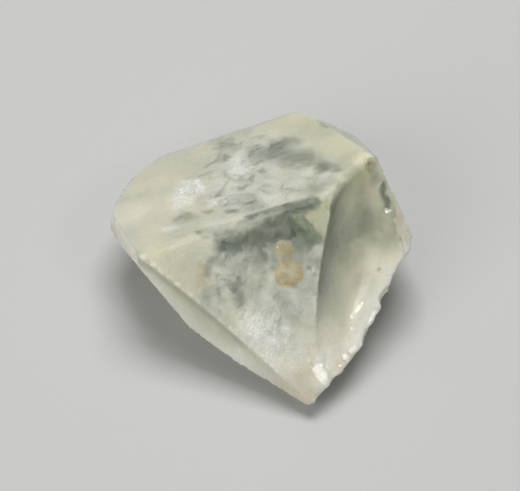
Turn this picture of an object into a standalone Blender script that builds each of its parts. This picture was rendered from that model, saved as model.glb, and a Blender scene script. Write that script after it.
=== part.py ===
"""Topaz crystal fragment, one closed solid standing on its flat cleavage face.

Lengths are in millimetres up to the last step, which scales to metres and centres
the footprint. +Z is up, +X is to the right and -Y is the side with the broad front
face. A direction is given by its azimuth (0 is +X, 90 is +Y) and by how far it
leans from straight up, both in degrees.
"""

import math

import bmesh
import bpy
from mathutils import Matrix, Vector

MM = 0.001
HEART = Vector((0.0, -3.0, 8.0))
BLOCK = 80.0
EDGE_WEAR = 0.1
SHARP_ANGLE = 22.0
FACET = 0.75

# name: (azimuth, lean, distance from HEART) of a flat face
CROWN = {
    "roof": (139.4, 22.6, 6.88),
    "front": (-94.9, 45.9, 8.74),
    "roof_front_band": (-143.9, 16.2, 8.56),
    "right_strip": (-8.3, 62.9, 15.22),
    "right_shoulder": (-34.6, 47.7, 12.95),
    "right_slope": (-51.9, 50.6, 11.89),
    "worn_crest": (-35.6, 25.6, 12.60),
    "left_slope": (-116.6, 79.0, 12.47),
    "left_strip": (-159.7, 84.3, 14.88),
    "rear_rim": (53.4, 44.0, 14.16),
}
WALLS = {
    "left_wall": (169.1, 84.3, 16.96),
    "left_rear_1": (159.7, 87.1, 17.05),
    "left_rear_2": (147.5, 85.0, 17.08),
    "left_rear_3": (135.1, 83.2, 16.84),
    "left_rear_4": (120.0, 80.5, 16.02),
    "rear_1": (105.3, 78.7, 14.66),
    "rear_2": (105.2, 76.0, 14.58),
    "rear_3": (66.0, 83.0, 16.05),
    "rear_right": (49.0, 81.5, 17.11),
    "right_wall": (22.4, 73.4, 15.36),
}
UNDERSIDE = {
    "under_left": (-145.4, 111.9, 12.39),
    "under_front_left": (-137.8, 128.0, 11.62),
    "under_front": (-130.0, 131.0, 12.27),
    "under_tip": (-25.7, 134.0, 13.54),
    "under_front_right": (-25.4, 130.0, 14.24),
    "under_right": (-12.6, 127.0, 13.14),
    "under_corner": (-19.8, 100.0, 16.26),
    "under_rear": (108.0, 118.0, 13.30),
    "under_rear_right": (40.0, 121.0, 14.30),
    "under_rear_left": (160.0, 119.0, 15.10),
    "rest": (0.0, 180.0, 8.0),
}

# name: (centre, axis azimuth, axis lean, long radius, short radius)
HOLLOWS = {
    "right_hollow": ((25.41, 5.88, 35.84), -121.2, 133.2, 46.4, 10.8),
    "left_hollow": ((-6.25, -21.95, 6.73), -33.4, 117.4, 39.6, 7.1),
    "strip_chip": ((14.62, -2.55, 14.5), -54.0, 132.0, 2.3, 1.0),
}

# name: (point on the edge, azimuth, lean, radius, depth) of a shell-shaped flake scar
FLAKES = {
    "lip_1": ((15.65, -7.45, 8.6), -28.0, 108.0, 9.0, 0.42),
    "lip_2": ((13.57, -10.85, 7.4), -20.0, 110.0, 2.9, 0.46),
    "lip_3": ((13.1, -11.93, 7.0), -35.0, 112.0, 5.0, 0.36),
    "lip_4": ((11.95, -14.15, 5.75), -24.0, 112.0, 2.8, 0.42),
    "lip_5": ((10.3, -17.3, 4.2), -42.0, 116.0, 5.0, 0.16),
    "lip_6": ((8.3, -18.8, 3.35), -45.0, 115.0, 1.9, 0.2),
    "tip": ((4.75, -21.13, 1.6), -105.0, 112.0, 2.5, 0.15),
    "left_corner": ((-17.06, -0.63, 6.9), -168.0, 118.0, 3.2, 0.3),
    "rear_left_scar": ((-10.6, 8.3, 3.6), 130.0, 100.0, 7.0, 0.6),
    "rear_scar": ((3.5, 13.2, 7.4), 100.0, 84.0, 11.0, 0.75),
    "rear_corner": ((11.6, 8.6, 5.2), 44.0, 96.0, 6.0, 0.7),
    "right_scar": ((16.2, 1.6, 6.8), 14.0, 88.0, 9.0, 0.6),
    "under_left_scar": ((-9.6, -10.9, 3.6), -138.0, 124.0, 10.0, 0.75),
    "under_right_scar": ((11.6, -9.6, 3.2), -14.0, 126.0, 9.0, 0.8),
    "left_wall_scar": ((-15.9, 2.4, 4.4), 166.0, 98.0, 7.0, 0.6),
    "crest_nick": ((6.15, -13.53, 10.28), -40.0, 62.0, 0.9, 0.17),
    "ridge_nick_1": ((-9.67, -11.48, 10.98), -118.0, 66.0, 0.8, 0.1),
    "ridge_nick_2": ((-1.83, -16.47, 6.54), -118.0, 66.0, 1.0, 0.1),
}

# name: (point on the face, azimuth, lean, radius, depth) of a small pit
PITS = {
    "hollow_speck": ((13.18, -8.17, 8.78), -45.0, 40.0, 0.26, 0.14),
    "crest_pit": ((11.95, -0.5, 17.45), -30.0, 55.0, 0.5, 0.22),
    "rim_pit": ((7.13, 10.16, 13.39), 53.4, 44.0, 0.7, 0.16),
    "front_pit": ((5.35, -11.1, 12.55), -94.9, 45.9, 0.3, 0.1),
}

# name: (first point, step to the next, count, line azimuth, line lean, length)
GROOVES = {
    "right_strip_lines": ((14.9, -3.3, 12.4), (0.29, -0.29, -0.64), 6, 69.2, 113.0, 2.6),
    "left_strip_lines": ((-15.1, -4.6, 10.0), (-0.12, 0.32, -0.62), 3, -67.4, 68.0, 8.0),
}
GROOVE_FACES = {"right_strip_lines": "right_strip", "left_strip_lines": "left_strip"}
GROOVE_DEPTH = 0.07
GROOVE_TURN = 24.0

# name: (centre, size, turn about the vertical) of a block cleaved off the underside
CLEAVAGE_STEPS = {
    "step_wide": ((11.0, 9.5, -1.0), (14.0, 12.0, 2.9), 28.0),
    "step_narrow": ((14.5, 7.0, -1.0), (14.0, 16.0, 3.7), 16.0),
    "step_left": ((-15.6, 4.0, -1.0), (9.0, 14.0, 2.7), -14.0),
}


def direction(azimuth, lean):
    """Unit vector with this azimuth and lean."""
    turn = math.radians(azimuth)
    fall = math.radians(lean)
    flat = math.sin(fall)
    return Vector((math.cos(turn) * flat, math.sin(turn) * flat, math.cos(fall)))


def cut_face(bm, azimuth, lean, distance):
    """Cuts away what lies beyond one flat face, and closes the solid there."""
    normal = direction(azimuth, lean)
    geometry = bm.verts[:] + bm.edges[:] + bm.faces[:]
    cut = bmesh.ops.bisect_plane(
        bm,
        geom=geometry,
        plane_co=HEART + normal * distance,
        plane_no=normal,
        clear_outer=True,
    )
    rim = [item for item in cut["geom_cut"] if isinstance(item, bmesh.types.BMEdge)]
    if rim:
        bmesh.ops.contextual_create(bm, geom=rim)


def rough_body():
    """The block trimmed to its flat faces, with the edges slightly worn."""
    bm = bmesh.new()
    bmesh.ops.create_cube(bm, size=BLOCK, matrix=Matrix.Translation(HEART))
    for faces in (CROWN, WALLS, UNDERSIDE):
        for azimuth, lean, distance in faces.values():
            cut_face(bm, azimuth, lean, distance)
    bmesh.ops.recalc_face_normals(bm, faces=bm.faces[:])
    bmesh.ops.bevel(
        bm,
        geom=bm.edges[:],
        offset=EDGE_WEAR,
        offset_type="OFFSET",
        segments=1,
        profile=0.5,
        affect="EDGES",
        clamp_overlap=True,
    )
    return bm


def add_object(name, bm, collection):
    """Turns a bmesh into an object of this collection."""
    mesh = bpy.data.meshes.new(name)
    bm.to_mesh(mesh)
    bm.free()
    made = bpy.data.objects.new(name, mesh)
    collection.objects.link(made)
    return made


def add_ellipsoid(name, centre, axis, long_radius, short_radius, collection):
    """A cutter with its poles along the axis, in facets of about FACET."""
    around = round(2.0 * math.pi * short_radius / FACET)
    along = round(math.pi * long_radius / (2.0 * FACET))
    turn = axis.to_track_quat("Z", "Y").to_matrix().to_4x4()
    size = Matrix.Diagonal((short_radius, short_radius, long_radius, 1.0))
    bm = bmesh.new()
    bmesh.ops.create_uvsphere(
        bm,
        u_segments=min(max(around, 18), 96),
        v_segments=min(max(along, 12), 72),
        radius=1.0,
        matrix=Matrix.Translation(centre) @ turn @ size,
    )
    return add_object(name, bm, collection)


def add_scar(name, point, azimuth, lean, radius, depth, collection):
    """A ball sunk to this depth at a point of the surface."""
    outward = direction(azimuth, lean)
    centre = Vector(point) + outward * (radius - depth)
    return add_ellipsoid(name, centre, outward, radius, radius, collection)


def add_box(name, size, place, collection):
    """A box cutter with this placing."""
    bm = bmesh.new()
    matrix = place @ Matrix.Diagonal((*size, 1.0))
    bmesh.ops.create_cube(bm, size=1.0, matrix=matrix)
    return add_object(name, bm, collection)


def add_grooves(name, collection):
    """A row of fine lines across a face, each cut by the edge of a slim bar."""
    start, step, count, azimuth, lean, length = GROOVES[name]
    face_azimuth, face_lean, distance = CROWN[GROOVE_FACES[name]]
    outward = direction(face_azimuth, face_lean)
    along = direction(azimuth, lean)
    along = (along - outward * along.dot(outward)).normalized()
    side = outward.cross(along)
    frame = Matrix((along, side, outward)).transposed().to_4x4()
    width = 0.8
    turn = math.radians(GROOVE_TURN)
    reach = width * 0.5 * (math.cos(turn) + math.sin(turn)) - GROOVE_DEPTH
    bars = []
    for index in range(count):
        point = Vector(start) + Vector(step) * index
        point += outward * (distance - (point - HEART).dot(outward))
        place = Matrix.Translation(point + outward * reach) @ frame
        place = place @ Matrix.Rotation(turn, 4, "X")
        size = (length, width, width)
        bars.append(add_box(f"{name}_{index}", size, place, collection))
    return bars


def make_cutters(collection):
    """Every hollow, flake scar, pit, line and cleavage step to be cut out."""
    cutters = []
    for name, (centre, azimuth, lean, long_radius, short_radius) in HOLLOWS.items():
        axis = direction(azimuth, lean)
        place = Vector(centre)
        cutters.append(
            add_ellipsoid(name, place, axis, long_radius, short_radius, collection)
        )
    for scars in (FLAKES, PITS):
        for name, scar in scars.items():
            cutters.append(add_scar(name, *scar, collection))
    for name in GROOVES:
        cutters += add_grooves(name, collection)
    for name, (centre, size, turn) in CLEAVAGE_STEPS.items():
        place = Matrix.Translation(centre) @ Matrix.Rotation(math.radians(turn), 4, "Z")
        cutters.append(add_box(name, size, place, collection))
    return cutters


def carve(body, cutters):
    """Subtracts the cutters one after another and keeps the finished mesh."""
    for cutter in cutters:
        cut = body.modifiers.new(cutter.name, "BOOLEAN")
        cut.operation = "DIFFERENCE"
        cut.solver = "EXACT"
        cut.object = cutter
    bpy.context.view_layer.update()
    graph = bpy.context.evaluated_depsgraph_get()
    carved = bpy.data.meshes.new_from_object(body.evaluated_get(graph))
    body.modifiers.clear()
    old = body.data
    body.data = carved
    bpy.data.meshes.remove(old)
    carved.name = body.name


def settle(mesh):
    """Scales to metres, with the middle of the footprint at the origin."""
    corners = [vertex.co for vertex in mesh.vertices]
    low = Vector([min(co[axis] for co in corners) for axis in range(3)])
    high = Vector([max(co[axis] for co in corners) for axis in range(3)])
    middle = Vector(((low.x + high.x) / 2.0, (low.y + high.y) / 2.0, low.z))
    mesh.transform(Matrix.Scale(MM, 4) @ Matrix.Translation(-middle))


def topaz():
    """Pale, slightly greenish grey topaz."""
    material = bpy.data.materials.new("topaz")
    material.use_nodes = True
    shader = material.node_tree.nodes["Principled BSDF"]
    shader.inputs["Base Color"].default_value = (0.62, 0.61, 0.5, 1.0)
    shader.inputs["Roughness"].default_value = 0.3
    shader.inputs["Metallic"].default_value = 0.0
    material.diffuse_color = (0.62, 0.61, 0.5, 1.0)
    return material


def new_collection(name):
    """A collection linked to the scene."""
    made = bpy.data.collections.new(name)
    bpy.context.scene.collection.children.link(made)
    return made


def main():
    for old in list(bpy.data.objects):
        bpy.data.objects.remove(old, do_unlink=True)
    parts = new_collection("Topaz crystal")
    helpers = new_collection("Cutters")
    body = add_object("topaz_crystal", rough_body(), parts)
    carve(body, make_cutters(helpers))
    for cutter in helpers.objects:
        cutter.display_type = "WIRE"
        cutter.hide_render = True
    helpers.hide_render = True
    mesh = body.data
    settle(mesh)
    mesh.materials.clear()
    mesh.materials.append(topaz())
    mesh.polygons.foreach_set("use_smooth", [True] * len(mesh.polygons))
    mesh.set_sharp_from_angle(angle=math.radians(SHARP_ANGLE))


main()
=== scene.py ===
import math

import bmesh
import bpy
import numpy as np
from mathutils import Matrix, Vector, noise
from mathutils.bvhtree import BVHTree
from mathutils.kdtree import KDTree


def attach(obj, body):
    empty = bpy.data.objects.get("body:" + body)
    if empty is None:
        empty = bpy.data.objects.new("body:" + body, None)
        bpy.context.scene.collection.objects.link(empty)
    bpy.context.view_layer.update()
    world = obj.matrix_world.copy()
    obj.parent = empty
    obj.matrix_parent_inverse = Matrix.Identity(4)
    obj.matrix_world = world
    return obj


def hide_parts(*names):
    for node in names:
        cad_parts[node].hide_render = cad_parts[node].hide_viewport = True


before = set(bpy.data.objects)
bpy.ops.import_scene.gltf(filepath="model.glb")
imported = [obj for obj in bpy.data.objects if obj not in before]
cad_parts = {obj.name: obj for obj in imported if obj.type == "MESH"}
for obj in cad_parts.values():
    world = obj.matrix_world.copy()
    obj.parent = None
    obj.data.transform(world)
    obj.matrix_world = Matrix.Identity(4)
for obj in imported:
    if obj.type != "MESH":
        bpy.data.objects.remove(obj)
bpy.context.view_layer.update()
MM = 0.001
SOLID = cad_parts["topaz_crystal"]

# ---------------------------------------------------------------- the photo's view

PHOTO_SIZE = (520, 491)                     # pixels
PHOTO_FOCAL = 1609.2                        # pixels
VIEW_TILT = math.radians(50.0)              # how far the view looks down
VIEW_BACK = np.array([0.0, -math.cos(VIEW_TILT), math.sin(VIEW_TILT)])
VIEW_UP = np.array([0.0, math.sin(VIEW_TILT), math.cos(VIEW_TILT)])
VIEW_AIM = np.array([-0.094, 0.186, 8.0])   # mm, what the middle of the photo shows
VIEW_DISTANCE = 180.0                       # mm
VIEW_FROM = VIEW_AIM + VIEW_DISTANCE * VIEW_BACK

# ---------------------------------------------------------------- places on the crystal

CELL = 0.195                          # mm, the fine surface's cell
SHARP_EDGE = math.radians(30.0)       # between two faces, from which their edge counts as sharp
SAME_FACE = math.radians(4.0)         # facets that differ by less belong to one face
SAME_PLACE = 2e-7                     # m, corners closer than this are one
MOST_OFF = 0.03                       # mm, how far the fine surface may lie off the solid before its relief
MOST_DEPTH = 15.0                     # mm, from which the crystal no longer looks thin
APEX = np.array([8.0, -0.63, 18.5])   # mm, where the roof, the front and the right hollow meet
HEART = np.array([-0.094, 1.186, 8.0])   # mm, the point that the strips' distances are measured from
ROOF = (139.4, 22.6)                  # degrees: which way the face looks, and how far it leans from level
FRONT = (-94.9, 45.9)
FACE_RISE = {"roof": 0.0, "front": 0.63}   # mm, from the worn apex out to each face's own plane


def normal_of(face):
    """The outward normal of a crystal face, given as (azimuth, lean) or (azimuth, lean, distance)."""
    azimuth, lean = map(math.radians, face[:2])
    return Vector((math.sin(lean) * math.cos(azimuth), math.sin(lean) * math.sin(azimuth), math.cos(lean)))


def axes_of(face, flip):
    """Across, along and out of a crystal face."""
    out = normal_of(face)
    across = Vector((0, 0, 1)).cross(out).normalized() * flip
    return np.array([across, out.cross(across), out])


PLACES = {"roof": axes_of(ROOF, -1), "front": axes_of(FRONT, 1)}


def grain_of(place, run):
    """Along the grain of a face, across it and out of the face; run is (across, along) on the face."""
    across, along, out = PLACES[place]
    run = (across * run[0] + along * run[1]) / math.hypot(*run)
    return [run, np.cross(out, run), out]


GRAINS = {"roof": grain_of("roof", (0.75, -0.60)), "front": grain_of("front", (0.37, 0.93))}
# Roughly along the right strip's lines, across them and out of the strip.
STRIP_GRAIN = [(0.32, 0.83, -0.45), (0.50, 0.27, 0.82), (0.81, -0.48, -0.34)]

# A mark is a stroke on a face: its two ends and its half width in pixels of the photo, and its strength.
# On the face, places are (across, along) in mm from the apex. Along the roof they are divided by its
# stretch, which keeps the strokes round from the front.
STRETCH = {"roof": 1.8, "front": 1.0}
FRONT_BAND = [
    ((285, 207), (248, 217), 3.5, 0.95),
    ((312, 201), (285, 208), 6.5, 1.25),
    ((284, 214), (310, 207), 4.0, 1.15),
    ((276, 216), (306, 211), 3.7, 0.80),
    ((197, 231), (197, 231), 3.5, 0.60),
    ((203, 238), (209, 237), 2.0, 0.40),
    ((185, 234), (177, 237), 2.0, 0.30),
    ((219, 234), (249, 229), 5.0, 0.44),
    ((204, 231), (232, 225), 4.7, 0.22),
    ((240, 222), (261, 220), 4.2, 0.45),
    ((283, 203), (303, 199), 4.7, 0.75),
]
FRONT_WINDOW = [
    ((240, 241), (262, 237), 11.2, 0.90),
    ((262, 238), (300, 231), 11.7, 0.86),
    ((292, 222), (309, 237), 8.5, 1.00),
    ((297, 222), (312, 238), 7.0, 1.00),
    ((306, 217), (321, 237), 5.8, 0.95),
    ((296, 237), (308, 247), 6.5, 0.80),
    ((312, 240), (321, 242), 3.0, 0.60),
    ((222, 248), (239, 245), 8.4, 0.90),
    ((222, 250), (222, 251), 3.0, 1.00),
    ((260, 244), (263, 250), 9.0, 0.88),
    ((262, 225), (292, 215), 6.7, 0.84),
    ((228, 257), (262, 259), 7.0, 0.45),
    ((300, 250), (312, 260), 8.0, 0.50),
    ((290, 240), (300, 247), 6.5, 0.70),
    ((261, 253), (258, 269), 8.4, 0.36),
    ((293, 248), (308, 269), 8.9, 0.45),
    ((234, 249), (243, 267), 8.4, 0.36),
    ((214, 262), (224, 248), 5.0, 0.50),
    ((206, 275), (214, 262), 4.0, 0.30),
    ((250, 262), (262, 262), 5.0, 0.30),
    ((272, 252), (275, 268), 5.0, 0.40),
    ((217, 254), (223, 262), 5.0, 0.45),
]
FRONT_STREAKS = [
    ((242, 262), (241, 285), 9.3, 0.42),
    ((240, 285), (240, 300), 7.0, 0.52),
    ((239, 295), (237, 300), 4.7, 0.55),
    ((247, 270), (247, 278), 5.0, 0.30),
    ((207, 294), (218, 293), 5.0, 0.32),
    ((276, 290), (286, 306), 7.0, 0.30),
    ((272, 292), (290, 302), 9.0, 0.22),
    ((283, 323), (292, 326), 4.0, 0.25),
    ((313, 270), (315, 276), 2.0, 0.50),
    ((300, 258), (312, 276), 4.0, 0.35),
    ((231, 256), (251, 290), 15.0, 0.28),
    ((300, 250), (302, 291), 13.0, 0.30),
    ((208, 300), (225, 312), 10.0, 0.15),
    ((300, 300), (280, 345), 11.0, 0.12),
    ((270, 292), (268, 310), 6.0, 0.14),
]
ROOF_STREAK = [
    ((273, 152), (301, 158), 9.0, 0.58),
    ((272, 142), (290, 142), 5.0, 0.34),
    ((256, 150), (273, 152), 5.2, 0.24),
    ((275, 148), (306, 160), 7.0, 0.50),
    ((300, 160), (335, 170), 6.0, 0.40),
    ((321, 165), (331, 168), 4.5, 0.50),
]
ROOF_CRACKS = [
    ((222, 148), (218, 160), 1.5, 0.32),
    ((218, 160), (206, 168), 1.1, 0.30),
    ((211, 172), (199, 176), 0.9, 0.25),
    ((229, 180), (216, 197), 1.2, 0.25),
]
ROOF_SPOTS = [
    ((226, 145), (226, 145), 5.0, 0.38),
    ((226, 154), (225, 160), 3.0, 0.32),
    ((177, 220), (190, 215), 3.2, 0.34),
    ((208, 212), (209, 212), 2.5, 0.38),
    ((230, 213), (235, 211), 2.7, 0.42),
    ((245, 201), (256, 206), 6.0, 0.28),
    ((236, 196), (239, 196), 2.1, 0.24),
    ((252, 196), (254, 196), 2.5, 0.32),
    ((262, 171), (264, 172), 2.0, 0.25),
    ((216, 196), (222, 190), 1.2, 0.25),
    ((322, 121), (327, 125), 3.0, 0.50),
]
ROOF_CLOUDS = [
    ((184, 185), (180, 207), 9.0, 0.68),
    # A painted glint.
    ((196, 182), (198, 190), 4.0, 1.00),
    ((233, 160), (239, 172), 7.0, 0.50),
    ((262, 206), (300, 195), 5.0, 0.20),
    ((254, 163), (256, 166), 5.0, 0.40),
    ((323, 177), (328, 176), 3.7, 0.30),
    ((215, 204), (232, 195), 5.0, 0.40),
    ((205, 225), (235, 217), 3.0, 0.40),
    ((168, 229), (171, 228), 3.0, 0.50),
]
FRONT_CLOUDS = [
    ((245, 325), (280, 330), 10.0, 0.70),
    ((255, 340), (290, 352), 7.0, 0.40),
    ((262, 300), (268, 318), 8.0, 0.20),
    ((248, 303), (252, 310), 5.0, 0.30),
    ((312, 296), (322, 306), 6.0, 0.40),
    ((290, 308), (303, 310), 5.0, 0.30),
    ((252, 335), (282, 340), 6.0, 0.60),
    ((257, 334), (271, 339), 8.3, 0.90),
    ((222, 281), (222, 287), 4.6, 0.50),
    ((241, 260), (245, 245), 3.0, 0.30),
    # A painted glint.
    ((252, 219), (261, 221), 2.5, 0.12),
    ((240, 219), (247, 218), 2.0, 0.40),
    ((272, 210), (280, 208), 1.2, 0.45),
    # A painted glint.
    ((264, 251), (270, 253), 2.0, 0.55),
    ((300, 270), (303, 300), 10.0, 0.25),
    ((277, 246), (282, 241), 1.9, 0.80),
    ((282, 241), (290, 243), 1.9, 0.80),
    ((262, 345), (298, 356), 14.7, 0.50),
]
FRONT_RUST = [
    ((284, 262), (284, 262), 2.5, 1.00),
    ((205, 268), (201, 283), 5.0, 0.50),
    ((228, 223), (238, 220), 3.0, 0.30),
    ((300, 372), (306, 369), 7.0, 0.25),
]
FRONT_YELLOW = [((154, 247), (190, 282), 20.0, 0.45)]
ROOF_YELLOW = [((361, 145), (302, 119), 18.5, 0.42), ((344, 172), (363, 155), 13.5, 0.50)]
# Where the crystal is fractured inside, and so mottled, instead of evenly milky.
ROOF_ZONE = [((268, 148), (237, 196), 29.0, 1.0), ((323, 171), (264, 196), 12.5, 0.8)]
FRONT_ZONE = [((297, 242), (272, 310), 32.0, 1.0), ((229, 252), (231, 294), 20.5, 1.0)]
MARKS = {
    # The dark marks are clear parts; their darkness is painted, as if a dark ground showed through them.
    "dark_window_and_shade": {"front": FRONT_BAND + FRONT_STREAKS, "roof": ROOF_STREAK + ROOF_SPOTS + ROOF_CRACKS},
    "cloud": {"front": FRONT_CLOUDS, "roof": ROOF_CLOUDS},
    "rust": {"front": FRONT_RUST},
    "yellow": {"front": FRONT_YELLOW, "roof": ROOF_YELLOW},
    "zone": {"front": FRONT_ZONE, "roof": ROOF_ZONE},
}
SOFT_EDGE = 0.75      # how far a mark's edge fades out, as a share of its half width
SOFTER_EDGES = {"dark_window_and_shade": 0.95, "zone": 0.95}
WINDOW_EDGE = 0.90
# Round stains on the front, in pixels of the photo: middle and radius, and then how strong the rim is.
STAINS = [((284, 249), 9.6, 0.60), ((288, 272), 14.0, 1.00)]
# The corners of a bright triangle beside the ridge, and the straight top of the dark window below the band,
# in pixels of the photo.
TRIANGLE = [(302, 210), (326, 243), (330, 194)]
WINDOW_TOP = [(222, 232), (290, 203)]
# Ridges that the hollows fall away from, and the hollows' lips, through the places that these pixels show.
# A ridge's shade and a lip's glow reach this far in mm.
SHADE_REACH = {"right": 2.4, "left": 0.75}
LEFT_SHADE = 0.42     # how strong the left ridge's shade is, where the right one's is 1
GLOW_REACH = {"right": 3.4, "left": 2.4}
RIGHT_RIDGE = [(336, 189), (323, 258), (310, 357)]
LEFT_RIDGE = [(138, 257), (210, 314), (293, 383)]
RIGHT_LIP = [(404, 258), (380, 297), (365, 334), (346, 360), (330, 383), (318, 399)]
LEFT_LIP = [(120, 243), (131, 257), (152, 282), (169, 302), (201, 336), (226, 354), (262, 375), (295, 396),
            (313, 402)]
# The fractured patch on the roof: its middle, across and along without the stretch, and its radii in mm,
# and its turn in degrees.
SPARKLE = ((-6.7, 17.0), (3.2, 1.4), 52.0)
# name: azimuth, lean and distance of a strip, then its lines: first point, step to the next, how many,
# azimuth, lean and length, and then the spacing and height in mm of the steps laid over them.
STRIPS = {
    "right": (
        (-8.3, 62.9, 15.22), (14.81, 0.89, 12.4), (0.29, -0.29, -0.64), 6, (69.2, 113.0), 2.6,
        0.55, 0.05,
    ),
    "left": (
        (-159.7, 84.3, 14.88), (-15.19, -0.41, 10.0), (-0.12, 0.32, -0.62), 3, (-67.4, 68.0), 8.0,
        0.62, 0.05,
    ),
}
# The narrow matt face behind the crest: azimuth, lean and distance, two places that its growth lines run
# between, and the spacing and height in mm of their steps.
REAR_RIM = (53.4, 44.0, 14.16), (11.9, 4.2, 17.7), (5.0, 15.5, 13.0), 0.70, 0.05
# How high or deep each kind of relief goes, in mm.
HEIGHTS = {
    "broad": 0.035, "fine": 0.010, "wear": 0.10, "sparkle": 0.13, "growth lines": 0.09, "ledges": 0.12,
    "lumps": 0.10,
}
LEDGE_SPACING = 1.15      # mm
# Where the ridges are worn away and round: start, end, how far it reaches in mm.
SOFT = [
    ((5.3, -13.8, 5.4), (6.9, -15.8, 3.6), 2.2),
    ((9.0, 0.7, 18.3), (11.6, 4.2, 18.2), 0.9),
    ((8.1, -0.6, 18.4), (7.4, -2.4, 17.5), 0.9),
]
# Low waves in the right hollow, beside its lip: start, end, half width and height in mm.
WAVES = [
    ((11.8, -6.2, 7.4), (9.6, -9.2, 6.0), 0.40, 0.03),
    ((8.0, -8.6, 7.6), (7.1, -10.3, 6.8), 0.30, 0.07),
    ((11.4, -9.6, 5.4), (8.6, -13.1, 4.1), 0.45, 0.07),
]
# Small flat chips that catch the light: middle, radius, and how far they are cut in, in mm. Each lies
# square to the line half way between those to the small lamp and to the viewer.
GLINT_FROM = np.array([185.0, -170.0, 250.0])   # mm, the small lamp
CHIPS = [
    ((6.3, -14.5, 4.6), 0.85, 0.15),
    ((6.8, -15.3, 4.0), 0.35, 0.07),
    ((7.6, -14.7, 3.9), 0.25, 0.06),
    ((7.2, -13.7, 4.4), 0.55, 0.12),
    ((12.4, -8.0, 6.2), 0.60, 0.20),
    ((12.0, -8.7, 5.8), 0.60, 0.20),
    ((10.1, -11.7, 4.4), 0.60, 0.08),
    ((9.2, -12.6, 4.1), 0.40, 0.07),
    ((8.6, -13.4, 3.9), 0.35, 0.06),
    ((7.9, -14.2, 3.9), 0.40, 0.07),
    ((6.1, -16.3, 3.1), 0.40, 0.06),
    ((12.8, 2.8, 15.2), 0.30, 0.06),
    ((13.8, 1.2, 13.0), 0.34, 0.06),
]
# Where the lip swells out: start and end, reach in mm, and how far each way.
SWELL = ((12.5, -7.5, 6.5), (12.0, -8.6, 5.9), 1.4, (0.46, -0.24, 0.0))
# Small pits with shiny walls: middle, radius, depth.
DENTS = [
    ((13.3, 2.1, 14.3), 0.55, 0.08),
    ((14.2, 1.2, 12.6), 0.35, 0.06),
    ((-7.1, 6.3, 11.9), 0.40, 0.10),
]
# Where the matt, light-swallowing parts of the right hollow lie: middle, and how far each reaches in mm.
DULL = [
    ((13.2, -3.4, 9.2), 2.4),
    ((12.0, -5.0, 8.0), 1.6),
    ((9.5, -2.0, 13.5), 4.0),
    ((10.6, -7.4, 6.8), 2.4),
]
# What stays shiny among the dull, in mm: a streak in the right hollow, and the edge of its lip.
STREAK = [(11.7, -6.3, 7.3), (10.9, -7.2, 6.9), (10.0, -8.6, 6.2)]
LIP_GLINT = [(12.6, -7.8, 6.4), (11.8, -9.0, 5.6)]
# The worn, matt edge from the ridge over the apex and along the crest behind it, in mm.
CREST = [(7.4, -2.4, 17.5), (8.2, -0.4, 18.4), (11.6, 4.2, 18.2)]
# A dark line at the top of the right strip, in mm.
PATCH = [(13.4, 2.8, 14.9), (13.5, 2.5, 14.5), (13.6, 2.1, 14.0), (13.9, 1.5, 13.3)]
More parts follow.
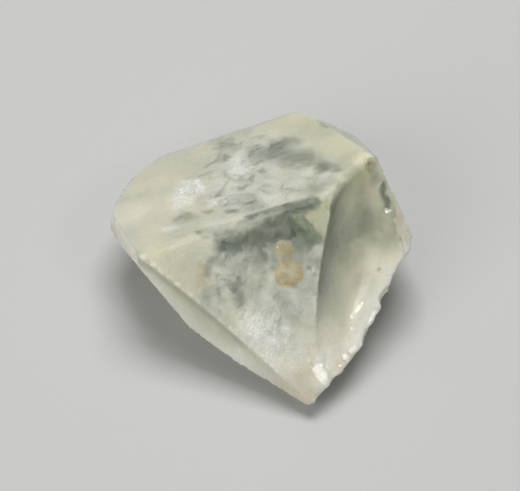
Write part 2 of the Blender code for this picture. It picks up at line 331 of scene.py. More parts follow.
# Soft spots of one kind of mark: kind, middle and radius in mm, strength.
SPOTS = [
    ("dark_window_and_shade", (11.4, -0.1, 13.1), 1.4, 0.42),
    ("dark_window_and_shade", (11.0, -1.1, 12.3), 1.4, 0.42),
    ("dark_window_and_shade", (9.1, -2.4, 12.7), 1.7, 0.45),
    ("dark_window_and_shade", (10.4, -0.6, 13.4), 2.6, 0.30),
    ("dark_window_and_shade", (8.7, -3.6, 11.6), 1.8, 0.42),
    ("glow", (6.9, -12.6, 5.3), 1.8, 0.60),
    ("glow", (3.9, -11.6, 7.6), 1.9, 0.40),
    ("glow", (7.6, -11.9, 5.3), 1.3, 0.90),
    ("glow", (-3.8, -11.7, 4.2), 1.6, 0.90),
    ("yellow", (9.9, 1.9, 18.4), 1.6, 0.90),
    ("rust", (5.2, -16.9, 2.4), 1.3, 0.50),
    ("rust", (3.9, -16.3, 2.3), 1.0, 0.45),
    ("rust", (2.4, -15.4, 2.5), 1.1, 0.45),
    ("rust", (8.9, -13.3, 3.6), 1.1, 0.55),
    ("rust", (10.1, -12.2, 3.9), 0.8, 0.40),
    # These two spots paint the thin tip and the left lip lighter: painted glow.
    ("cloud", (6.9, -12.9, 5.2), 1.3, 0.55),
    ("cloud", (-2.3, -12.4, 4.0), 1.3, 0.55),
    ("dark_window_and_shade", (7.7, -4.2, 13.0), 1.5, 0.72),
    ("dark_window_and_shade", (11.4, -5.0, 8.3), 1.4, 0.18),
    ("dark_window_and_shade", (9.9, 1.9, 18.4), 1.5, 0.20),
    ("dark_window_and_shade", (10.3, -2.9, 10.9), 1.8, 0.26),
    ("dark_window_and_shade", (13.6, -0.9, 11.1), 1.6, 0.30),
    ("yellow", (13.6, -0.9, 11.1), 2.4, 0.60),
    ("dark_window_and_shade", (14.6, 0.4, 12.0), 3.2, 0.25),
    ("dark_window_and_shade", (12.6, -0.5, 11.2), 2.4, 0.22),
    ("dark_window_and_shade", (9.6, -3.4, 11.0), 2.4, 0.22),
    ("dark_window_and_shade", (12.7, 3.0, 15.9), 0.9, 0.30),
    ("dark_window_and_shade", (11.9, 3.9, 17.3), 0.85, 0.48),
    ("rust", (11.8, 3.8, 17.5), 0.7, 0.40),
    ("yellow", (10.3, 1.8, 16.8), 2.2, 0.9),
    ("dark_window_and_shade", (13.1, -3.9, 8.7), 0.2, 0.7),
    ("dark_window_and_shade", (14.9, 0.9, 12.4), 1.1, 0.38),
    ("yellow", (15.0, 0.9, 12.2), 1.6, 0.60),
    ("dark_window_and_shade", (6.5, 1.1, 17.3), 0.8, 0.14),
    ("dark_window_and_shade", (8.7, 0.3, 18.3), 1.1, 0.30),
    ("yellow", (8.7, 0.3, 18.3), 1.2, 0.60),
    ("glow", (7.5, -10.4, 6.4), 1.4, 0.75),
    ("glow", (6.6, -11.8, 6.4), 1.2, 0.60),
    ("glow", (7.0, -11.2, 6.4), 1.8, 0.90),
    ("glow", (2.4, -14.6, 4.5), 1.6, 0.60),
    ("glow", (0.7, -13.6, 5.2), 1.4, 0.60),
    # A painted glint at the tip's chip, made of the cloud's white specks.
    ("cloud", (6.2, -14.1, 5.2), 0.8, 0.80),
    ("glow", (-14.6, 2.5, 10.5), 2.8, 0.45),
]

# ---------------------------------------------------------------- from the photo to the crystal

def unit(way):
    return way / np.linalg.norm(way)


def sight(pixel):
    """Which way the view looks at a pixel; the part of it along the view is 1 long."""
    across = (pixel[0] - PHOTO_SIZE[0] / 2) / PHOTO_FOCAL
    down = (pixel[1] - PHOTO_SIZE[1] / 2) / PHOTO_FOCAL
    return np.array([across, 0.0, 0.0]) - down * VIEW_UP - VIEW_BACK


def spot_at(pixel, place):
    """Where a pixel lies on a face, across and along in mm from the apex."""
    out = PLACES[place][2]
    way = sight(pixel)
    reach = (FACE_RISE[place] - (VIEW_FROM - APEX) @ out) / (way @ out)
    spot = PLACES[place] @ (VIEW_FROM + reach * way - APEX)
    return spot[:2] / (1, STRETCH[place])


def laid(start, end, half_width, place):
    """A stroke's two ends on a face, and its half width in mm."""
    run = np.subtract(end, start)
    length = np.hypot(*run)
    aside = np.array([-run[1], run[0]]) / length if length else np.array([0.0, 1.0])
    middle = np.add(start, end) / 2
    width = spot_at(middle + half_width * aside, place) - spot_at(middle, place)
    first = spot_at(start, place)
    last = spot_at(end, place)
    if length:
        along = unit(last - first)
        width -= along * (along @ width)
    return first, last, np.linalg.norm(width)


def seen(pixel, tree):
    """The place on the solid that a pixel shows or, if it shows none, the nearest one."""
    way = Vector(sight(pixel))
    place = tree.ray_cast(Vector(VIEW_FROM), way)[0]
    if place is None:
        place = tree.find_nearest(Vector(VIEW_FROM) + VIEW_DISTANCE * way)[0]
    return np.array(place)


# ---------------------------------------------------------------- measuring

def smoothstep(low, high, value):
    share = np.clip((value - low) / (high - low), 0, 1)
    return share * share * (3 - 2 * share)


def min_of(values):
    return np.min(np.stack(list(values)), axis=0)


def max_of(values):
    return np.max(np.stack(list(values)), axis=0)


def read(mesh, name, width):
    values = np.empty(len(mesh.vertices) * width, np.float32)
    mesh.vertices.foreach_get(name, values)
    return values.reshape(-1, width).astype(np.float64)


def write(mesh, points):
    mesh.vertices.foreach_set("co", (points * MM).ravel().astype(np.float32))
    mesh.update()


def fractal(points, size, octaves, seed):
    """Smooth noise, about -1 to 1, with lumps of the given size in mm."""
    shift = Vector((seed * 17.3, seed * 5.1, seed * 11.7))
    return np.array([noise.fractal(Vector(p) / size + shift, 1.0, 2.0, octaves) for p in points])


def ridged(points, size, seed):
    """How far each point lies from the nearest of many scattered spots, about 0 to 1."""
    shift = Vector((seed * 17.3, seed * 5.1, seed * 11.7))
    return np.array([noise.voronoi(Vector(p) / size + shift)[0][0] for p in points])


def saw_teeth(turns, top):
    """A slope up from 0 to 1 over the first part of each turn, and back down over the rest."""
    share = turns - np.floor(turns)
    return np.minimum(share / top, (1 - share) / (1 - top))


def smoothed(values, ends, rounds):
    """Each value averaged with its neighbours', again and again."""
    count = np.bincount(ends.ravel(), minlength=len(values)) + 1.0
    for _ in range(rounds):
        total = values + np.bincount(ends[:, 0], values[ends[:, 1]], len(values))
        total += np.bincount(ends[:, 1], values[ends[:, 0]], len(values))
        values = total / count
    return values


def smoothed_places(points, ends, rounds):
    return np.stack([smoothed(points[:, k], ends, rounds) for k in range(3)], axis=1)


def distance(points, middle):
    return np.linalg.norm(points - np.array(middle), axis=1)


def to_segment(points, start, end):
    """How far each point lies from a segment, in mm, and how far along it, from 0 to 1."""
    start, end = np.array(start), np.array(end)
    along = np.clip((points - start) @ (end - start) / np.dot(end - start, end - start), 0, 1)
    return np.linalg.norm(points - start - along[:, None] * (end - start), axis=1), along


def to_line(points, line):
    """How far each point lies from a line through several places, in mm."""
    return min_of(to_segment(points, start, end)[0] for start, end in zip(line[:-1], line[1:]))


def strip_lines(strip):
    """The segments of a strip's fine lines."""
    face, start, step, count, (azimuth, lean), length, _, _ = strip
    out = np.array(normal_of(face))
    along = np.array(normal_of((azimuth, lean)))
    along -= out * (along @ out)
    along *= length / 2 / np.linalg.norm(along)
    starts = [np.array(start) + k * np.array(step) for k in range(count)]
    return [(point - along, point + along) for point in starts]


def above_face(points, face):
    """How far each point lies outside a plane (azimuth, lean, distance from the heart), in mm."""
    return (points - HEART) @ np.array(normal_of(face)) - face[2]


def half_way(place):
    """The direction half way between those to the small lamp and to the viewer."""
    return unit(unit(GLINT_FROM - place) + unit(VIEW_FROM - place))


def on_face(points, place):
    """Across, along and out of a face, in mm from the apex."""
    return (points - APEX) @ PLACES[place].T


def face_spots(points, place):
    """Where each point lies on a face, and 1 where it is at the face itself, fading to 0 away from it."""
    spot = on_face(points, place)
    return spot[:, :2] / (1, STRETCH[place]), smoothstep(0.9, 0.3, np.abs(spot[:, 2] - FACE_RISE[place]))


def ellipse(spot, centre, radii, turn):
    """How far each spot lies from the middle of an ellipse: 1 on its rim."""
    turn = math.radians(turn)
    shift = spot[:, :2] - np.array(centre)
    along = shift @ np.array([math.cos(turn), math.sin(turn)])
    aside = shift @ np.array([-math.sin(turn), math.cos(turn)])
    return np.hypot(along / radii[0], aside / radii[1])


def stroke(spot, start, end, half_width):
    """How far each spot lies from a stroke, in half widths."""
    length = max(np.dot(end - start, end - start), 1e-9)
    along = np.clip((spot - start) @ (end - start) / length, 0, 1)
    return np.linalg.norm(spot - start - along[:, None] * (end - start), axis=1) / half_width


def left_of(spot, start, end):
    """How far each spot lies to the left of a line, in mm."""
    along = unit(end - start)
    return (spot - start) @ np.array([-along[1], along[0]])


# ---------------------------------------------------------------- the fine surface

def fine_mesh(source, cell):
    """A copy of the solid, remade in even small cells with its edges kept."""
    bm = bmesh.new()
    bm.from_mesh(source.data)
    bmesh.ops.remove_doubles(bm, verts=bm.verts[:], dist=SAME_PLACE)
    mesh = bpy.data.meshes.new("topaz_surface")
    bm.to_mesh(mesh)
    bm.free()
    piece = bpy.data.objects.new("topaz_surface", mesh)
    bpy.context.scene.collection.objects.link(piece)
    remake = piece.modifiers.new("even cells", "REMESH")
    remake.mode = "SHARP"
    remake.octree_depth = 8
    remake.sharpness = 1.0
    remake.use_remove_disconnected = False
    span = max(np.ptp([v.co[:] for v in mesh.vertices], axis=0))
    remake.scale = min(0.99, span / (cell * MM * 2 ** remake.octree_depth))
    bpy.context.view_layer.update()
    graph = bpy.context.evaluated_depsgraph_get()
    made = bpy.data.meshes.new_from_object(piece.evaluated_get(graph))
    piece.modifiers.clear()
    piece.data = made
    return piece


def sharp_edges(source, step, lines):
    """Points in mm along the solid's convex sharp edges, one every step mm, but none on the fine lines."""
    bm = bmesh.new()
    bm.from_mesh(source.data)
    bmesh.ops.remove_doubles(bm, verts=bm.verts[:], dist=SAME_PLACE)
    bmesh.ops.dissolve_limit(bm, angle_limit=SAME_FACE, verts=bm.verts[:], edges=bm.edges[:])
    points = []
    for edge in bm.edges:
        if len(edge.link_faces) != 2 or edge.calc_face_angle_signed(0) < SHARP_EDGE:
            continue
        start, end = (v.co / MM for v in edge.verts)
        middle = np.array([(start + end) / 2])
        if min(to_segment(middle, *line)[0][0] for line in lines) < 0.25:
            continue
        count = max(1, round((end - start).length / step))
        points += [start.lerp(end, (k + 0.5) / count) for k in range(count)]
    bm.free()
    return points


def to_nearest(points, places):
    """How far each point lies from the nearest of some places, in mm."""
    tree = KDTree(len(places))
    for index, place in enumerate(places):
        tree.insert(place, index)
    tree.balance()
    return np.array([tree.find(p)[2] for p in points])


def search_tree(corners, mesh):
    return BVHTree.FromPolygons(corners, [tuple(f.vertices) for f in mesh.polygons])


def thickness(mesh, points, normals, most):
    """How deep the crystal is behind each point, in mm."""
    tree = search_tree([tuple(p) for p in points], mesh)
    depth = np.full(len(points), most)
    for k, (point, out) in enumerate(zip(points, normals)):
        hit = tree.ray_cast(Vector(point - out * 0.05), Vector(-out), most)
        if hit[3] is not None:
            depth[k] = hit[3]
    return depth


def pressed(points, tree, most):
    """The points, with those more than so many mm off the solid brought back to its surface."""
    kept = points.copy()
    for k, point in enumerate(points):
        place, _, _, away = tree.find_nearest(point)
        if away > most:
            kept[k] = place
    return kept


def without_grooves(points, ends):
    """The points, with the solid's grooves on the strips smoothed away, as finer steps take their place."""
    points = points.copy()
    for strip in STRIPS.values():
        face = strip[0]
        above = above_face(points, face)
        to_lines = min_of(to_segment(points, *line)[0] for line in strip_lines(strip))
        flat = (to_lines < 0.45) & (np.abs(above) < 0.30)
        points -= np.outer(np.where(flat, above, 0.0), normal_of(face))
        evened = smoothed_places(points, ends, 10)
        points[flat] = evened[flat]
        points -= np.outer(np.where(flat, above_face(points, face), 0.0), normal_of(face))
    return points


class Surface:
    """What is measured once at every point of the fine surface, in mm."""

    def __init__(self, mesh, tree):
        self.ends = np.array([e.vertices[:] for e in mesh.edges])
        self.points = without_grooves(pressed(read(mesh, "co", 3) / MM, tree, MOST_OFF), self.ends)
        write(mesh, self.points)
        self.normals = read(mesh, "normal", 3)
        lines = [line for strip in STRIPS.values() for line in strip_lines(strip)]
        self.to_edge = to_nearest(self.points, sharp_edges(SOLID, 0.15, lines))
        self.depth = thickness(mesh, self.points, self.normals, MOST_DEPTH)
        self.broad = fractal(self.points, 5.0, 2, 1)
        self.fine = fractal(self.points, 0.9, 3, 2)
        self.nibble = fractal(self.points, 0.55, 2, 3)
        self.warp = np.stack([fractal(self.points, 1.4, 3, 7), fractal(self.points, 1.4, 3, 8)], axis=1)
        self.off_floor = smoothstep(0.15, 0.5, self.points[:, 2])
        self.at_front = face_spots(self.points, "front")[1]
        self.at_roof = smoothstep(1.0, 0.4, np.abs(on_face(self.points, "roof")[:, 2]))
        self.sparkle = self.sparkle_field()
        self.at_strips = {name: self.at_strip(strip) for name, strip in STRIPS.items()}
        self.at_rim = self.rim_field()

    def sparkle_field(self):
        """1 in the fractured patch on the roof."""
        away = ellipse(on_face(self.points, "roof") + 0.5 * self.fine[:, None], *SPARKLE)
        return smoothstep(1.2, 0.7, away) * self.at_roof

    def at_strip(self, strip):
        """1 on a strip face, fading to 0 at its edges."""
        above = np.abs(above_face(self.points, strip[0]))
        return smoothstep(0.25, 0.12, above) * smoothstep(0.2, 0.6, self.to_edge)

    def rim_field(self):
        """1 on the narrow matt face behind the crest."""
        face = REAR_RIM[0]
        level = self.normals @ np.array(normal_of(face))
        return smoothstep(0.35, 0.15, np.abs(above_face(self.points, face))) * smoothstep(0.80, 0.95, level)


# ---------------------------------------------------------------- relief

def softening(s):
    """How far the worn ridges move as they are rounded off."""
    near = [to_segment(s.points, start, end)[0] / reach for start, end, reach in SOFT]
    share = max_of(smoothstep(1.0, 0.5, away) for away in near)
    return (smoothed_places(s.points, s.ends, 40) - s.points) * share[:, None]


def edge_wear(s):
    return -HEIGHTS["wear"] * smoothstep(0.5, 0.0, s.to_edge) * smoothstep(-0.05, 0.55, s.nibble)


def strip_steps(s):
    lift = np.zeros(len(s.points))
    for name, strip in STRIPS.items():
        face, *_, spacing, rise = strip
        start, end = strip_lines(strip)[0]
        side = np.cross(normal_of(face), unit(end - start))
        turns = (s.points @ side + 0.12 * s.broad) / spacing
        lift -= rise * s.at_strips[name] * saw_teeth(turns, 0.7)
    return lift


def rim_steps(s):
    face, start, end, spacing, rise = REAR_RIM
    side = np.cross(normal_of(face), unit(np.subtract(end, start)))
    turns = (s.points @ side + 0.18 * s.broad + 0.05 * s.fine) / spacing
    return -rise * s.at_rim * smoothstep(0.1, 0.5, s.to_edge) * saw_teeth(turns, 0.7)


def hollow_waves(s):
    lift = np.zeros(len(s.points))
    uneven = s.points + 0.15 * np.stack([s.broad, s.fine, -s.broad], axis=1)
    for start, end, half_width, height in WAVES:
        away, along = to_segment(uneven, start, end)
        fade = smoothstep(0.0, 0.25, along) * smoothstep(1.0, 0.75, along)
        lift += height * np.exp(-(away / half_width) ** 2) * fade
    return lift


def pits(s):
    lift = np.zeros(len(s.points))
    for middle, radius, deep in DENTS:
        lift -= deep * smoothstep(1.0, 0.0, distance(s.points, middle) / radius)
    return lift


def growth_lines(s):
    """Upright lines on the steep faces that the front doesn't reach."""
    upright = smoothstep(0.35, 0.15, np.abs(s.normals[:, 2])) * smoothstep(-0.45, -0.1, s.normals[:, 1])
    lines = np.abs(fractal(s.points * (1, 1, 0.06), 0.9, 2, 11))
    return -HEIGHTS["growth lines"] * upright * (1 - s.at_front) * lines


def under_ledges(s):
    """Torn, nearly level ledges where the crystal leans over the floor."""
    underneath = smoothstep(-0.25, -0.45, s.normals[:, 2]) * s.off_floor
    turns = s.points[:, 2] / LEDGE_SPACING + 0.35 * s.broad + 0.5 * fractal(s.points, 9.0, 1, 12)
    stepped = smoothstep(-0.15, 0.35, fractal(s.points, 3.5, 2, 13))
    ledges = -HEIGHTS["ledges"] * stepped * saw_teeth(turns, 0.75)
    return underneath * (ledges + HEIGHTS["lumps"] * fractal(s.points, 2.2, 3, 14))


def swell(s):
    """How far the right lip moves as it swells out."""
    start, end, reach, push = SWELL
    return np.outer(smoothstep(reach, 0.1, to_segment(s.points, start, end)[0]), push)


def chipped(s, moved):
    """The moved points, cut flat at each chip."""
    for middle, radius, deep in CHIPS:
        out = half_way(np.array(middle))
        away = distance(moved, middle) / radius
        height = moved @ out
        uneven = radius * (0.03 * s.fine + 0.02 * s.nibble)
        proud = np.maximum(0, height - height[away < 0.7].max() + deep + uneven)
        moved = moved - np.outer(proud * smoothstep(1.35, 0.85, away + 0.2 * s.nibble), out)
    return moved


def relief(s):
    """The points with their wear, steps, waves, pits and chips."""
    lift = HEIGHTS["broad"] * s.broad + HEIGHTS["fine"] * s.fine + edge_wear(s)
    lift -= HEIGHTS["sparkle"] * s.sparkle * ridged(s.points, 0.5, 5)
    lift += strip_steps(s) + rim_steps(s) + hollow_waves(s) + pits(s) + growth_lines(s) + under_ledges(s)
    moved = s.points + softening(s) + s.normals * (lift * s.off_floor)[:, None]
    return chipped(s, moved + swell(s))


# ---------------------------------------------------------------- marks

def mark_field(s, marks, softness):
    """0 to 1 over the crystal, from the strokes on each face."""
    field = np.zeros(len(s.points))
    for place, strokes in marks.items():
        spot, at_face = face_spots(s.points, place)
        for *shape, strength in strokes:
            start, end, half_width = laid(*shape, place)
            away = stroke(spot + s.warp * min(0.5, half_width), start, end, half_width)
            field = np.maximum(field, strength * smoothstep(1 + softness, 1 - softness, away) * at_face)
    return field


def triangle_field(s):
    """The bright triangle beside the ridge."""
    spot, at_face = face_spots(s.points, "front")
    spot = spot + 0.22 * s.warp
    corners = [spot_at(pixel, "front") for pixel in TRIANGLE]
    inside = min_of(left_of(spot, corners[k], corners[(k + 1) % 3]) for k in range(3))
    return smoothstep(-0.30, 0.25, inside) * at_face


def window_field(s, triangle):
    """The dark windows in the front, their darkness painted: below their straight top, beside the triangle.
    """
    spot, at_face = face_spots(s.points, "front")
    above = smoothstep(-0.05, 0.15, left_of(spot, *(spot_at(pixel, "front") for pixel in WINDOW_TOP)))
    return mark_field(s, {"front": FRONT_WINDOW}, WINDOW_EDGE) * (1 - above * at_face) * (1 - triangle)


def stain_fields(s):
    """Round stains, and their rims, darkest at the lower right."""
    spot, at_face = face_spots(s.points, "front")
    fill = np.zeros(len(s.points))
    rim = np.zeros(len(s.points))
    for pixel, pixels_wide, strength in STAINS:
        centre, _, radius = laid(pixel, pixel, pixels_wide, "front")
        shift = (spot + 0.3 * s.warp - centre) / radius
        away = np.linalg.norm(shift, axis=1)
        turned = 0.55 + 0.45 * (shift @ np.array([0.8, -0.6])) / np.maximum(away, 0.1)
        fill = np.maximum(fill, smoothstep(1.15, 0.75, away) * at_face)
        rim = np.maximum(rim, strength * turned * np.exp(-((away - 0.86) / 0.22) ** 2) * at_face)
    return fill, rim


def ridge_shade(s, tree):
    """Shade in the hollows, close beside the ridges that they fall away from."""
    height = s.points[:, 2]
    right = to_line(s.points, [seen(pixel, tree) for pixel in RIGHT_RIDGE])
    right = np.exp(-(right / SHADE_REACH["right"]) ** 1.5) * smoothstep(7.0, 11.5, height)
    right *= smoothstep(18.8, 17.0, height)
    left = to_line(s.points, [seen(pixel, tree) for pixel in LEFT_RIDGE])
    left = LEFT_SHADE * np.exp(-(left / SHADE_REACH["left"]) ** 2) * smoothstep(2.5, 6.5, height)
    under_front = FACE_RISE["front"] - on_face(s.points, "front")[:, 2]
    return np.maximum(right, left) * smoothstep(0.03, 0.25, under_front)


def lip_glow(s, tree):
    """Light that comes through the thin lips of the hollows."""
    right = to_line(s.points, [seen(pixel, tree) for pixel in RIGHT_LIP]) + 0.3 * s.fine
    left = to_line(s.points, [seen(pixel, tree) for pixel in LEFT_LIP]) + 0.2 * s.fine
    right = smoothstep(GLOW_REACH["right"], 0.2, right)
    left = smoothstep(GLOW_REACH["left"], 0.2, left)
    return max_of([right, left, 0.35 * s.at_rim])


def dull_field(s):
    """Where the right hollow swallows light, but for its shiny streak and the edge of its lip."""
    dull = max_of(smoothstep(1.3, 0.6, distance(s.points, middle) / reach) for middle, reach in DULL)
    dull *= 1 - 0.90 * smoothstep(0.45, 0.10, to_line(s.points, STREAK) + 0.10 * s.nibble)
    return dull * (1 - smoothstep(0.80, 0.40, to_line(s.points, LIP_GLINT)))


def elsewhere_field(s):
    """1 on the walls and under the stone, which the photo doesn't show."""
    turned_away = smoothstep(-0.5, 0.0, s.normals[:, 1] - 1.2 * np.minimum(s.normals[:, 2], 0))
    return (1 - s.at_front) * (1 - s.at_roof) * turned_away


def mark_fields(s, tree):
    """Every soft mark by its name, as one value for each point, mostly 0 to 1."""
    fields = {}
    for name, marks in MARKS.items():
        fields[name] = mark_field(s, marks, SOFTER_EDGES.get(name, SOFT_EDGE))
    fields["stain"], fields["rim"] = stain_fields(s)
    triangle = triangle_field(s)
    patch = 0.95 * smoothstep(0.80, 0.0, to_line(s.points, PATCH) + 0.35 * s.fine)
    # The windows' painted see-through darkness and the painted shade beside the ridges join the dark marks.
    dark = [window_field(s, triangle), 0.13 * triangle, ridge_shade(s, tree), patch]
    fields["dark_window_and_shade"] = max_of([fields["dark_window_and_shade"], *dark])
    fields["yellow"] = max_of([fields["yellow"], triangle, 0.12 * s.at_front])
    fields["glow"] = lip_glow(s, tree)
    for name, centre, radius, strength in SPOTS:
        away = distance(s.points, centre) + 0.3 * s.fine
        fields[name] = np.maximum(fields[name], strength * smoothstep(1.5 * radius, 0.4 * radius, away))

    elsewhere = elsewhere_field(s)
    rear_zone = 0.9 * smoothstep(-0.25, 0.35, fractal(s.points, 6.0, 2, 21)) * elsewhere
    fields["zone"] = np.maximum(fields["zone"], rear_zone)
    bent = s.points + 2.2 * np.stack([s.broad, s.warp[:, 0], s.warp[:, 1]], axis=1)
    rear_smoke = 0.50 * smoothstep(-0.1, 0.8, fractal(bent * (1, 1, 0.6), 4.5, 4, 22)) * elsewhere
    fields["dark_window_and_shade"] = np.maximum(fields["dark_window_and_shade"], rear_smoke)
    rear_cloud = 0.7 * smoothstep(0.05, 0.6, fractal(s.points, 3.0, 3, 23)) * elsewhere
    fields["cloud"] = np.maximum(fields["cloud"], rear_cloud)

    at_crest = smoothstep(2.2, 0.8, to_line(s.points, CREST))
    by_edge = 0.5 * smoothstep(0.6, 0.1, s.to_edge)
    fields["crest"] = np.maximum(at_crest, 0.6 * s.at_rim)
    fields["matt"] = max_of([at_crest, 0.8 * s.at_rim, by_edge, dull_field(s), 0.6 * elsewhere])
    fields["sparkle"] = 0.8 * s.sparkle
    fields["front"] = s.at_front
    fields["roof"] = s.at_roof
    fields["strip"] = max_of(s.at_strips.values())
    # Painted light and shade: each wall facet lighter or darker by which way it faces, for inner
    # reflections.
    facets = np.sin(s.normals @ np.array([6.0, 4.5, 8.0]))
    fields["facet_shading"] = smoothed(0.5 + 0.5 * facets * elsewhere, s.ends, 2)
    fields["wall"] = smoothed(elsewhere, s.ends, 4)
    fields["worn"] = smoothed(smoothstep(0.7, 0.1, s.to_edge), s.ends, 2) * (1 - at_crest)
    # Painted glow: thin parts made lighter, as if light came through them.
    fields["thin"] = smoothed(np.exp(-s.depth / 3.0), s.ends, 12)
    return fields


stone = fine_mesh(SOLID, CELL)
solid_tree = search_tree([v.co / MM for v in SOLID.data.vertices], SOLID.data)
surface = Surface(stone.data, solid_tree)
write(stone.data, relief(surface))
for name, values in mark_fields(surface, solid_tree).items():
    attribute = stone.data.attributes.new(name, "FLOAT", "POINT")
    attribute.data.foreach_set("value", values.astype(np.float32))

stone.data.polygons.foreach_set("use_smooth", [True] * len(stone.data.polygons))
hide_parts("topaz_crystal")
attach(stone, "root")

# ---------------------------------------------------------------- material

REFRACTION = 1.62           # topaz's refractive index
COAT_ROUGHNESS = 0.06
SCATTER = 0.7               # share of the light that scatters below the surface
SCATTER_REACH = (3.0, 3.0, 2.4)           # mm, for red, green and blue
ABSORBED = (0.55, 0.62, 0.25, 1)          # the tint that thick parts take on
ABSORPTION = 30.0           # per metre
BUMP_HEIGHT = 0.02          # mm
COLOURS = {
    "warm cream": (0.94, 0.90, 0.70),
    "cool cream": (0.90, 0.89, 0.73),
    "zone": (0.86, 0.89, 0.80),
    "yellow": (0.72, 0.71, 0.44),
    "haze": (0.56, 0.61, 0.53),
    "veil": (0.95, 0.95, 0.88),
    # Painted see-through darkness of the clear marks, and painted shade beside the ridges.
    "dark_window_and_shade": (0.33, 0.41, 0.35),
    "flecks": (0.78, 0.81, 0.70),
    "threads": (0.93, 0.95, 0.88),
    "cloud": (0.93, 0.94, 0.89),
    "stain": (0.55, 0.46, 0.22),
    "rim": (0.47, 0.31, 0.10),
    "strip": (0.84, 0.72, 0.50),
    "lines": (0.99, 0.93, 0.80),
    # Painted glow: the lips and the thin parts made lighter, as if light came through them.
    "glow": (0.95, 0.92, 0.78),
    "thin": (0.97, 0.94, 0.80),
    "worn": (0.98, 0.95, 0.83),
    "rust": (0.72, 0.53, 0.27),
    # Partly the clouds' own white flecks, partly painted glints.
    "specks": (1.0, 1.0, 0.97),
}
# How strongly each mark's colour covers those before it in this list.
COVER = {
    "zone": 0.6, "yellow": 0.8, "haze": 0.42, "veil": 0.5, "dark_window_and_shade": 0.9, "flecks": 1.0, "threads": 0.35,
    "cloud": 0.8, "stain": 0.78, "rim": 0.8, "strip": 0.6, "lines": 0.7, "glow": 0.75, "thin": 0.6,
    "worn": 0.3, "rust": 0.8,
}
# How much clearer (or cloudier, below 0) each mark makes the crystal.
CLEARER = {
    "haze": 0.18, "veil": -0.10, "dark_window_and_shade": 0.40, "threads": -0.12, "cloud": -0.18, "stain": -0.25,
    "glow": -0.16, "strip": -0.22, "specks": -0.5, "wall": 0.14, "worn": -0.04,
}


class Tree:
    """Short ways to add and link a material's nodes."""

    def __init__(self, name):
        self.material = bpy.data.materials.new(name)
        self.material.use_nodes = True
        self.nodes = self.material.node_tree.nodes
        self.links = self.material.node_tree.links
        self.shader = self.nodes["Principled BSDF"]
        self.output = self.nodes["Material Output"]

    def add(self, kind, settings=None, **inputs):
        node = self.nodes.new("ShaderNode" + kind)
        for name, value in (settings or {}).items():
            setattr(node, name, value)
        for name, value in inputs.items():
            self.feed(node.inputs[name.replace("_", " ")], value)
        return node

    def feed(self, socket, value):
        if hasattr(value, "links"):
            self.links.new(value, socket)
        elif isinstance(value, (tuple, list)) and len(value) == 3 and socket.type == "RGBA":
            socket.default_value = (*value, 1)
        else:
            socket.default_value = value

    def math(self, operation, *values, clamp=False):
        node = self.nodes.new("ShaderNodeMath")
        node.operation = operation
        node.use_clamp = clamp
        for socket, value in zip(node.inputs, values):
            self.feed(socket, value)
        return node.outputs[0]

    def times(self, first, second, clamp=False):
        return self.math("MULTIPLY", first, second, clamp=clamp)

    def step(self, value, low, high, floor=0.0, ceiling=1.0):
        """A smooth change from floor to ceiling as the value goes from low to high."""
        node = self.add("MapRange", {"interpolation_type": "SMOOTHSTEP"}, Value=value)
        for name, number in (("From Min", low), ("From Max", high), ("To Min", floor), ("To Max", ceiling)):
            node.inputs[name].default_value = number
        return node.outputs["Result"]

    def mix(self, share, first, second, mode="MIX"):
        """The second colour laid over the first. A Mix node's colours are its sockets 6, 7 and, out, 2."""
        node = self.add("Mix", {"data_type": "RGBA", "blend_type": mode})
        self.feed(node.inputs[0], share)
        self.feed(node.inputs[6], first)
        self.feed(node.inputs[7], second)
        return node.outputs[2]

    def noise(self, place, scale, detail=3.0, roughness=0.55, distortion=0.0):
        node = self.add("TexNoise", Vector=place, Scale=scale, Detail=detail, Roughness=roughness)
        node.inputs["Distortion"].default_value = distortion
        return node.outputs["Fac"]

    def blend(self, share, first, second):
        """The first number where the share is 0, the second where it is 1."""
        change = self.math("SUBTRACT", second, first)
        return self.math("MULTIPLY_ADD", change, share, first)

    def feathered(self, level, torn, reach):
        """A mark of this level, torn into wisps, most of all where it is faint."""
        lively = self.math("MINIMUM", self.times(level, 4.0), 1.0)
        rough = self.math("MULTIPLY_ADD", self.times(torn, reach), lively, level)
        return self.math("MINIMUM", self.math("MAXIMUM", rough, 0.0), 1.1)

    def turned(self, place, axes, scale):
        """Coordinates along three axes, each stretched by its own scale."""
        rows = []
        for axis, stretch in zip(axes, scale):
            dot = self.add("VectorMath", {"operation": "DOT_PRODUCT"})
            self.links.new(place, dot.inputs[0])
            dot.inputs[1].default_value = [stretch * part for part in axis]
            rows.append(dot.outputs["Value"])
        return self.add("CombineXYZ", X=rows[0], Y=rows[1], Z=rows[2]).outputs[0]

    def in_mm(self):
        """The place on the object, in mm."""
        node = self.add("VectorMath", {"operation": "SCALE"})
        self.links.new(self.add("TexCoord").outputs["Object"], node.inputs[0])
        node.inputs["Scale"].default_value = 1 / MM
        return node.outputs[0]

    def field(self, name):
        return self.add("Attribute", {"attribute_name": name}).outputs["Fac"]


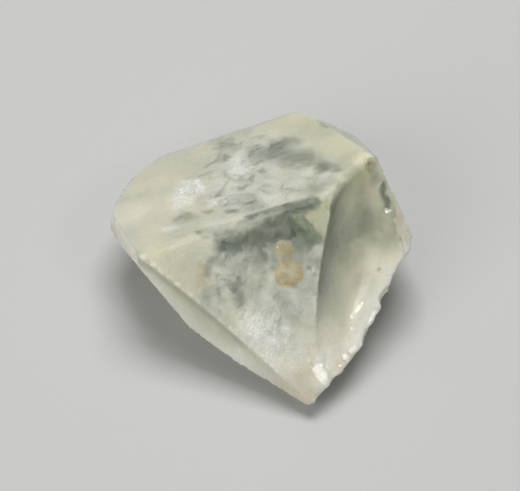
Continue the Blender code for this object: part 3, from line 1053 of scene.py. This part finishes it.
def topaz_material():
    t = Tree("topaz")
    mm = t.in_mm()

    patchy = t.noise(mm, 0.22, 2.0)
    mottle = t.noise(mm, 0.9, 4.0, 0.6, 0.4)
    wisps = t.noise(mm, 0.55, 5.0, 0.62, 0.9)
    fine = t.noise(mm, 4.0, 3.0, 0.6)
    fibre = t.noise(mm, 1.3, 5.0, 0.68, 0.35)
    for face, axes in GRAINS.items():
        grain = t.noise(t.turned(mm, axes, (0.42, 1.3, 1.3)), 2.1, 6.0, 0.70, 0.7)
        fibre = t.blend(t.field(face), fibre, grain)
    torn = t.math("MULTIPLY_ADD", t.math("MULTIPLY_ADD", fine, 0.4, fibre), 2.4, -1.68)
    striped = t.noise(t.turned(mm, STRIP_GRAIN, (0.25, 2.0, 2.0)), 1.6, 3.0, 0.6)

    marks = {name: t.field(name) for name in ("zone", "yellow", "glow", "worn", "strip", "wall")}
    zone = marks["zone"]
    # The dark marks: painted see-through darkness and painted shade.
    dark_window_and_shade = t.feathered(t.field("dark_window_and_shade"), torn, 0.48)
    cloud = t.feathered(t.field("cloud"), torn, 0.80)
    sparkle = t.field("sparkle")
    marks["dark_window_and_shade"] = dark_window_and_shade
    marks["cloud"] = cloud
    marks["veil"] = t.times(zone, t.step(wisps, 0.47, 0.66))
    marks["haze"] = t.times(zone, t.step(wisps, 0.50, 0.32))
    marks["threads"] = t.times(zone, t.step(fibre, 0.56, 0.72))
    marks["rust"] = t.times(t.field("rust"), t.step(mottle, 0.3, 0.7, 0.6, 1.2), clamp=True)
    marks["stain"] = t.times(t.field("stain"), t.step(fine, 0.3, 0.7, 0.75, 1.15), clamp=True)
    marks["rim"] = t.times(t.field("rim"), t.step(fine, 0.40, 0.62, 0.45, 1.35), clamp=True)
    # Painted glow of the thin parts.
    marks["thin"] = t.step(t.field("thin"), 0.2, 0.7)
    marks["lines"] = t.times(marks["strip"], t.step(striped, 0.45, 0.57))
    marks["flecks"] = t.times(dark_window_and_shade, t.step(fine, 0.56, 0.70, 0.0, 0.38))
    # White specks: partly the clouds' and the fracture's own flecks, partly painted glints.
    marks["specks"] = t.times(t.math("MAXIMUM", cloud, sparkle), t.step(fine, 0.60, 0.68))

    body = t.mix(t.step(patchy, 0.35, 0.65), COLOURS["warm cream"], COLOURS["cool cream"])
    for name, cover in COVER.items():
        body = t.mix(t.times(marks[name], cover), body, COLOURS[name])
    body = t.mix(1.0, body, t.step(fibre, 0.3, 0.7, 0.965, 1.025), "MULTIPLY")
    # Painted light and shade: each wall facet lighter or darker by which way it faces.
    body = t.mix(1.0, body, t.step(t.field("facet_shading"), 0.0, 1.0, 0.88, 1.10), "MULTIPLY")
    body = t.mix(1.0, body, t.step(fine, 0.3, 0.7, 0.94, 1.03), "MULTIPLY")
    body = t.mix(marks["specks"], body, COLOURS["specks"])
    t.feed(t.shader.inputs["Base Color"], body)

    clear = t.step(patchy, 0.3, 0.7, 0.42, 0.52)
    for name, change in CLEARER.items():
        clear = t.math("MULTIPLY_ADD", marks[name], change, clear)
    t.feed(t.shader.inputs["Transmission Weight"], t.times(clear, 1.0, clamp=True))
    rough = t.step(mottle, 0.3, 0.7, 0.285, 0.36)
    t.feed(t.shader.inputs["Roughness"], t.math("MULTIPLY_ADD", t.field("crest"), 0.30, rough))

    grit = t.add("TexVoronoi", {"feature": "F1"}, Vector=mm, Scale=2.6).outputs["Distance"]
    height = t.math("MULTIPLY_ADD", t.times(grit, sparkle), 5.0, fine)
    bump = t.add("Bump", Height=height, Strength=0.6, Distance=BUMP_HEIGHT * MM)
    t.feed(t.shader.inputs["Normal"], bump.outputs[0])
    t.feed(t.shader.inputs["Coat Normal"], bump.outputs[0])

    t.shader.inputs["IOR"].default_value = REFRACTION
    t.feed(t.shader.inputs["Coat Weight"], t.math("MULTIPLY_ADD", t.field("matt"), -0.85, 0.9, clamp=True))
    t.shader.inputs["Coat Roughness"].default_value = COAT_ROUGHNESS
    t.shader.inputs["Subsurface Weight"].default_value = SCATTER
    t.shader.inputs["Subsurface Radius"].default_value = SCATTER_REACH
    t.shader.inputs["Subsurface Scale"].default_value = MM

    inside = t.add("VolumeAbsorption")
    inside.inputs["Color"].default_value = ABSORBED
    inside.inputs["Density"].default_value = ABSORPTION
    t.links.new(inside.outputs[0], t.output.inputs["Volume"])
    return t.material


stone.data.materials.clear()
stone.data.materials.append(topaz_material())

# ---------------------------------------------------------------- room

FLOOR_HALF = 0.6            # m
FLOOR_COLOUR = (0.45, 0.45, 0.44, 1)
FLOOR_ROUGHNESS = 0.8
# name: place and size in mm, power in W. All lamps aim at a point above the stone's middle.
LAMPS = {
    "key": ((20.0, 100.0, 360.0), (220.0, 160.0), 1.27),
    "glint": (GLINT_FROM, (30.0, 40.0), 0.08),
    "fill": ((-200.0, -220.0, 200.0), (250.0, 250.0), 0.55),
}
LAMPS_AIM = (0.0, 0.0, 10.0)      # mm
WORLD_COLOUR = (0.95, 0.97, 1.0, 1)
WORLD_STRENGTH = 0.22
SENSOR = 36.0                     # mm


def area(name, place, size, power):
    """A rectangular lamp that aims at the stone; places and sizes are in mm."""
    lamp = bpy.data.lights.new(name, "AREA")
    lamp.shape = "RECTANGLE"
    lamp.size = size[0] * MM
    lamp.size_y = size[1] * MM
    lamp.energy = power
    made = bpy.data.objects.new(name, lamp)
    bpy.context.scene.collection.objects.link(made)
    made.location = Vector(place) * MM
    made.rotation_euler = (Vector(LAMPS_AIM) - Vector(place)).to_track_quat("-Z", "Y").to_euler()


floor_mesh = bpy.data.meshes.new("floor")
bm = bmesh.new()
bmesh.ops.create_grid(bm, x_segments=1, y_segments=1, size=FLOOR_HALF)
bm.to_mesh(floor_mesh)
bm.free()
floor = bpy.data.objects.new("floor", floor_mesh)
bpy.context.scene.collection.objects.link(floor)
floor_look = bpy.data.materials.new("floor")
floor_look.use_nodes = True
floor_shader = floor_look.node_tree.nodes["Principled BSDF"]
floor_shader.inputs["Base Color"].default_value = FLOOR_COLOUR
floor_shader.inputs["Roughness"].default_value = FLOOR_ROUGHNESS
floor_mesh.materials.append(floor_look)

for name, lamp in LAMPS.items():
    area(name, *lamp)

world = bpy.data.worlds.new("studio")
world.use_nodes = True
background = world.node_tree.nodes["Background"]
background.inputs["Color"].default_value = WORLD_COLOUR
background.inputs["Strength"].default_value = WORLD_STRENGTH
bpy.context.scene.world = world
bpy.context.scene.view_settings.view_transform = "Standard"

camera_data = bpy.data.cameras.new("camera")
camera_data.sensor_width = SENSOR
camera_data.lens = SENSOR * PHOTO_FOCAL / PHOTO_SIZE[0]
camera_data.clip_start = 0.01
camera = bpy.data.objects.new("camera", camera_data)
bpy.context.scene.collection.objects.link(camera)
camera.location = VIEW_FROM * MM
camera.rotation_euler = (math.pi / 2 - VIEW_TILT, 0, 0)
bpy.context.scene.camera = camera
